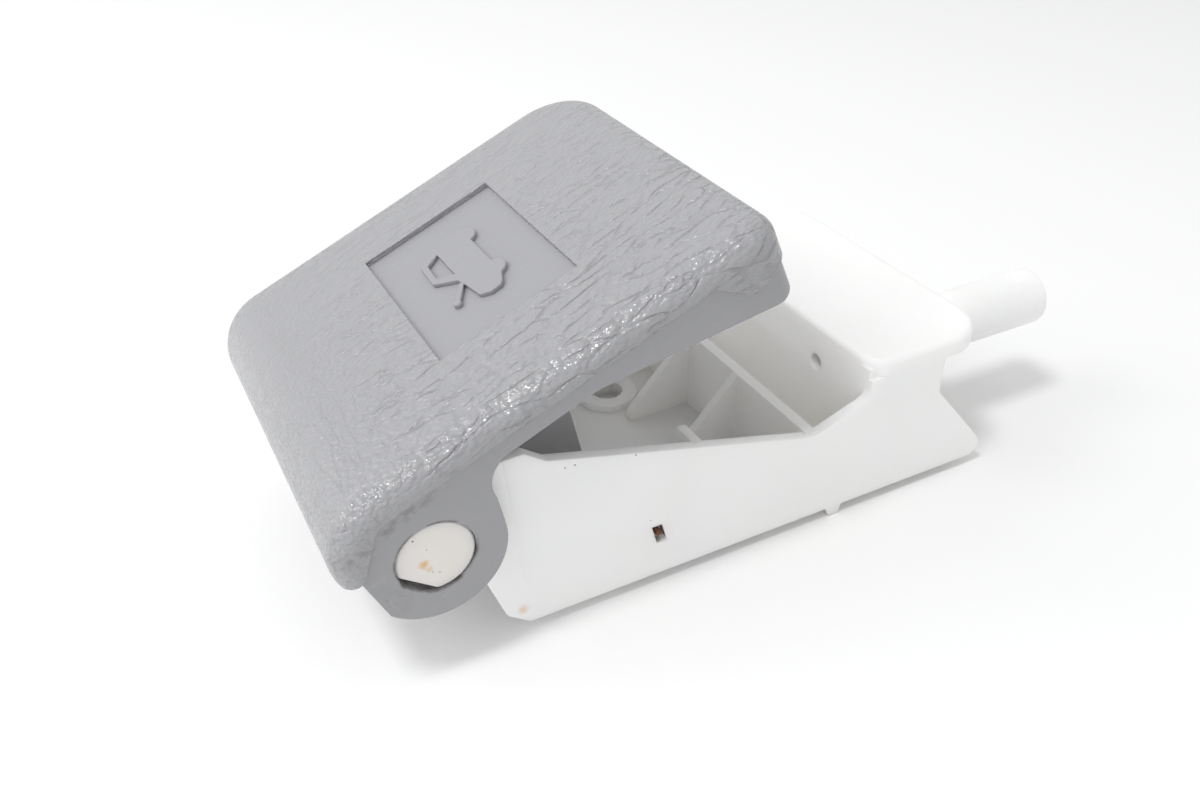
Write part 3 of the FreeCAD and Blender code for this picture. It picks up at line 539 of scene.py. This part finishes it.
def weldLine(tree, axes):
    # the faint upright line on the side plate where the mould's flow fronts met
    across = addNode(tree, "Math", {
        0: axes.outputs["Z"], 1: nylon["weldSlope"], 2: axes.outputs["X"]},
        operation="MULTIPLY_ADD")
    across = addNode(tree, "Math", {0: across, 1: nylon["weldPlace"]}, operation="SUBTRACT")
    across = addNode(tree, "Math", {0: across}, operation="ABSOLUTE")
    line = addNode(tree, "MapRange", {"Value": across, "From Min": 0.3, "From Max": 0.05})
    none, full = nylon["weldFoot"]
    level = addNode(tree, "MapRange", {
        "Value": axes.outputs["Z"], "From Min": none, "From Max": full})
    return addNode(tree, "Math", {0: line, 1: level}, operation="MULTIPLY")


# Spring: drawn spring steel, dark and oily with rust-brown patches

wire = {
    "colour": "#5c5854",
    "rustColour": "#7a4a2a",
    "rustPatch": 1.6,        # mm
    "legFoot": 6.1,          # mm above the hinge, where the moving leg clears the coil
    "legTip": 17.4,          # mm above the hinge
    "legCuts": 12,
    "weld": 0.001,           # mm, points nearer to each other than this are one
    "pits": 4.0,             # per mm
    "pitDepth": 0.03,        # mm
    "roughness": 0.36,
    "rustRoughness": 0.8,
}


def springSteel():
    material, tree = newMaterial("springSteelRusty")
    place = bracketSpace(tree)
    rust = addNode(tree, "TexNoise", {
        "Vector": place, "Scale": 1 / wire["rustPatch"], "Detail": 5.0})
    rust = addNode(tree, "MapRange", {"Value": rust, "From Min": 0.42, "From Max": 0.62})
    colour = addNode(tree, "Mix", {
        "Factor": rust, "A": linear(wire["colour"]), "B": linear(wire["rustColour"])},
        data_type="RGBA")
    metal = addNode(tree, "MapRange", {"Value": rust, "To Min": 1.0, "To Max": 0.15})
    rough = addNode(tree, "MapRange", {
        "Value": rust, "To Min": wire["roughness"], "To Max": wire["rustRoughness"]})
    pits = addNode(tree, "TexNoise", {"Vector": place, "Scale": wire["pits"], "Detail": 4.0})
    bump = addNode(tree, "Bump", {"Height": pits, "Distance": wire["pitDepth"] * millimetre})
    surface(tree, {"Base Color": colour, "Metallic": metal, "Roughness": rough, "Normal": bump})
    return material


def makeSpring():
    # the frame's spring again, with its moving leg cut into short lengths from the coil
    # to the tip
    work = bmesh.new()
    work.from_mesh(frame["nodes"]["return_spring"].data)
    bmesh.ops.remove_doubles(work, verts=work.verts, dist=wire["weld"] * millimetre)
    for step in range(wire["legCuts"] + 1):
        level = wire["legFoot"] + (wire["legTip"] - wire["legFoot"]) * step / wire["legCuts"]
        bmesh.ops.bisect_plane(work, geom=work.verts[:] + work.edges[:] + work.faces[:],
                               plane_co=hinge + Vector((0, 0, level * millimetre)),
                               plane_no=(0, 0, 1))
    bmesh.ops.triangulate(work, faces=work.faces)
    bmesh.ops.recalc_face_normals(work, faces=work.faces)
    mesh = bpy.data.meshes.new("springWire")
    work.to_mesh(mesh)
    work.free()
    for face in mesh.polygons:
        face.use_smooth = True
    mesh.materials.append(finishes["return_spring"])
    piece = bpy.data.objects.new("springWire", mesh)
    bpy.context.scene.collection.objects.link(piece)
    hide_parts("return_spring")
    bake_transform(piece)


finishes = {
    "grip_cover": grainedPolypropylene(),
    "handle_body": smoothPolypropylene(),
    "bracket": naturalNylon(),
    "return_spring": springSteel(),
}
for name, material in finishes.items():
    node = frame["nodes"][name]
    node.data.materials.clear()
    node.data.materials.append(material)
makeSpring()
print("finishes and spring made:", ", ".join(sorted(finishes)))


# Symbol: a plain car with its bonnet up, raised on the smooth panel. It is drawn flat, in
# millimetres from the hinge along and across the handle, with the roof towards the hinge and
# the nose towards the near side.

symbol = {
    "panelLevel": 12.0,      # mm above the hinge, with the handle closed
    "height": 0.8,
    "sunk": 0.08,
    "edge": 0.16,
    "wheelRadius": 1.75,
    "rearWheel": (27.1, 7.6),
    "frontWheel": (27.1, -3.0),
    "barWidth": 0.75,
    "barRoot": (22.5, -1.7),
    "barTip": (20.3, -5.0),
    "knob": 0.62,
    "knobRise": 0.1,         # over the rest
    "knobEdge": 1.6,         # its rounding over the edge's
    "sill": 27.5,
    "arcPoints": 9,
    "rear": [(19.4, 1.7), (19.5, 6.7), (22.3, 8.7), (23.0, 9.5), (26.9, 9.6)],
    "nose": [(26.7, -6.6), (26.2, -7.1), (24.6, -7.2), (23.2, -6.3), (22.7, -2.6),
             (22.3, -0.7)],
    "window": [(20.3, 2.5), (20.5, 6.2), (22.5, 7.5), (22.6, 0.9)],
    "weld": 0.0001,          # mm
}


def wheelArc(centre):
    # the part of a wheel that shows below the sill, as points from rear to front
    radius, last = symbol["wheelRadius"], symbol["arcPoints"] - 1
    start = math.acos((symbol["sill"] - centre[0]) / radius)
    return [(centre[0] + radius * math.cos(start - 2 * start * i / last),
             centre[1] + radius * math.sin(start - 2 * start * i / last))
            for i in range(last + 1)]


def flatForm(name, outlines, height, edge):
    # closed outlines, the inner ones holes, raised with softly rounded edges
    data = bpy.data.curves.new(name, "CURVE")
    data.dimensions = "2D"
    data.fill_mode = "BOTH"
    data.extrude = (height / 2 - edge) * millimetre
    data.bevel_depth = edge * millimetre
    data.bevel_resolution = 2
    data.offset = -edge * millimetre
    for points in outlines:
        spline = data.splines.new("POLY")
        spline.points.add(len(points) - 1)
        for point, (across, along) in zip(spline.points, points):
            point.co = (across * millimetre, along * millimetre, 0, 1)
        spline.use_cyclic_u = True
    holder = bpy.data.objects.new(name + "Curve", data)
    bpy.context.scene.collection.objects.link(holder)
    bpy.context.view_layer.update()
    mesh = bpy.data.meshes.new_from_object(holder)
    bpy.data.objects.remove(holder)
    return mesh


def ring(centre, radius, count=20):
    return [(centre[0] + radius * math.cos(2 * math.pi * i / count),
             centre[1] + radius * math.sin(2 * math.pi * i / count)) for i in range(count)]


def bar(start, end, width):
    along = (Vector(end) - Vector(start)).normalized() * width / 2
    side = Vector((-along.y, along.x))
    return [tuple(Vector(start) + side), tuple(Vector(start) - side),
            tuple(Vector(end) - side), tuple(Vector(end) + side)]


def makeSymbol():
    body = (symbol["rear"] + wheelArc(symbol["rearWheel"]) + wheelArc(symbol["frontWheel"])
            + symbol["nose"])
    forms = (
        flatForm("carBody", [body, symbol["window"]], symbol["height"], symbol["edge"]),
        flatForm("bonnetBar", [bar(symbol["barRoot"], symbol["barTip"], symbol["barWidth"])],
                 symbol["height"], symbol["edge"]),
        flatForm("bonnetKnob", [ring(symbol["barTip"], symbol["knob"])],
                 symbol["height"] + symbol["knobRise"], symbol["edge"] * symbol["knobEdge"]),
    )
    work = bmesh.new()
    for mesh in forms:
        work.from_mesh(mesh)
        bpy.data.meshes.remove(mesh)
    bmesh.ops.remove_doubles(work, verts=work.verts, dist=symbol["weld"] * millimetre)
    bmesh.ops.recalc_face_normals(work, faces=work.faces)
    level = symbol["panelLevel"] + symbol["height"] / 2 - symbol["sunk"]
    place = Matrix.Translation(hinge) @ Matrix.Rotation(-openAngle, 4, "Y")
    bmesh.ops.transform(work, verts=work.verts,
                        matrix=place @ Matrix.Translation((0, 0, level * millimetre)))
    mesh = bpy.data.meshes.new("bonnetSymbol")
    work.to_mesh(mesh)
    work.free()
    piece = bpy.data.objects.new("bonnetSymbol", mesh)
    bpy.context.scene.collection.objects.link(piece)
    mesh.materials.append(finishes["handle_body"])
    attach(piece, "handle")


makeSymbol()
print("symbol made")


# Floor, light and camera, in metres and watts

studio = {
    "floorSize": 6.0,
    "floorColour": 0.95,     # how much of its light the floor sends back to the object
    "floorSeen": 0.88,       # how much of it the camera sees
    "floorWhite": 0.06,      # and the white that is added to it
    "horizon": 0.66,         # strength of the room's light from the sides
    "zenith": 0.62,          # and from straight above
    "tint": (0.99, 0.995, 1.0, 1.0),
    "lamps": {               # place, size and power of each
        "windowLight": ((-0.70, 0.26, 0.62), 0.6, 2.7),
        "sparkleLight": ((-0.38, -0.11, 0.85), 0.2, 3.2),
    },
    "aim": (-0.01, 0.0, 0.02),
}


def seenDirectly(tree):
    # 1 for what the camera sees, straight or mirrored or through the plastic
    path = addNode(tree, "LightPath")
    either = addNode(tree, "Math", {
        0: path.outputs["Is Camera Ray"], 1: path.outputs["Is Glossy Ray"]}, operation="MAXIMUM")
    return addNode(tree, "Math", {0: either, 1: path.outputs["Is Transmission Ray"]},
                   operation="MAXIMUM")


def makeFloor():
    work = bmesh.new()
    bmesh.ops.create_grid(work, x_segments=1, y_segments=1, size=studio["floorSize"] / 2)
    mesh = bpy.data.meshes.new("floor")
    work.to_mesh(mesh)
    work.free()
    floor = bpy.data.objects.new("floor", mesh)
    bpy.context.scene.collection.objects.link(floor)
    material, tree = newMaterial("whiteTable")
    seen = seenDirectly(tree)
    shade = addNode(tree, "Mix", {
        "Factor": seen, "A": studio["floorColour"], "B": studio["floorSeen"]}, data_type="FLOAT")
    colour = addNode(tree, "CombineColor", {"Red": shade, "Green": shade, "Blue": shade})
    matt = addNode(tree, "BsdfDiffuse", {"Color": colour})
    white = addNode(tree, "Math", {0: seen, 1: studio["floorWhite"]}, operation="MULTIPLY")
    glow = addNode(tree, "Emission", {"Strength": white})
    both = addNode(tree, "AddShader", {0: matt, 1: glow})
    addNode(tree, "OutputMaterial", {"Surface": both})
    mesh.materials.append(material)


def makeWorld():
    # a soft room: brighter from the sides than from above, and white to the camera
    world = bpy.data.worlds.new("softRoom")
    world.use_nodes = True
    tree = world.node_tree
    tree.nodes.clear()
    direction = addNode(tree, "TexCoord").outputs["Generated"]
    rise = addNode(tree, "SeparateXYZ", {0: direction}).outputs["Z"]
    light = addNode(tree, "MapRange", {
        "Value": rise, "To Min": studio["horizon"], "To Max": studio["zenith"]})
    strength = addNode(tree, "Mix", {"Factor": seenDirectly(tree), "A": light, "B": 1.0},
                       data_type="FLOAT")
    sky = addNode(tree, "Background", {"Color": studio["tint"], "Strength": strength})
    addNode(tree, "OutputWorld", {"Surface": sky})
    bpy.context.scene.world = world


def makeLamps():
    for name, (place, size, power) in studio["lamps"].items():
        data = bpy.data.lights.new(name, "AREA")
        data.shape = "DISK"
        data.size = size
        data.energy = power
        lamp = bpy.data.objects.new(name, data)
        bpy.context.scene.collection.objects.link(lamp)
        lamp.location = place
        lamp.rotation_mode = "QUATERNION"
        lamp.rotation_quaternion = (Vector(studio["aim"]) - Vector(place)).to_track_quat("-Z", "Y")


makeFloor()
makeWorld()
makeLamps()
bpy.context.scene.view_settings.view_transform = "Standard"

# the camera's place and directions, fitted to the photograph
view = {
    "place": (-0.07703, -0.12425, 0.11028),
    "forward": (0.38072, 0.73239, -0.56449),
    "up": (0.26932, 0.49617, 0.82539),
    "lens": 33.0,            # mm
    "sensor": 36.0,          # mm
}


def makeCamera():
    data = bpy.data.cameras.new("camera")
    data.sensor_width = view["sensor"]
    data.lens = view["lens"]
    data.clip_start = 0.005
    data.clip_end = 20
    camera = bpy.data.objects.new("camera", data)
    bpy.context.scene.collection.objects.link(camera)
    back = -Vector(view["forward"]).normalized()
    right = Vector(view["up"]).cross(back).normalized()
    up = back.cross(right)
    turn = Matrix((right, up, back)).transposed().to_4x4()
    camera.matrix_world = Matrix.Translation(view["place"]) @ turn
    bpy.context.scene.camera = camera


makeCamera()
print("floor, light and camera set")
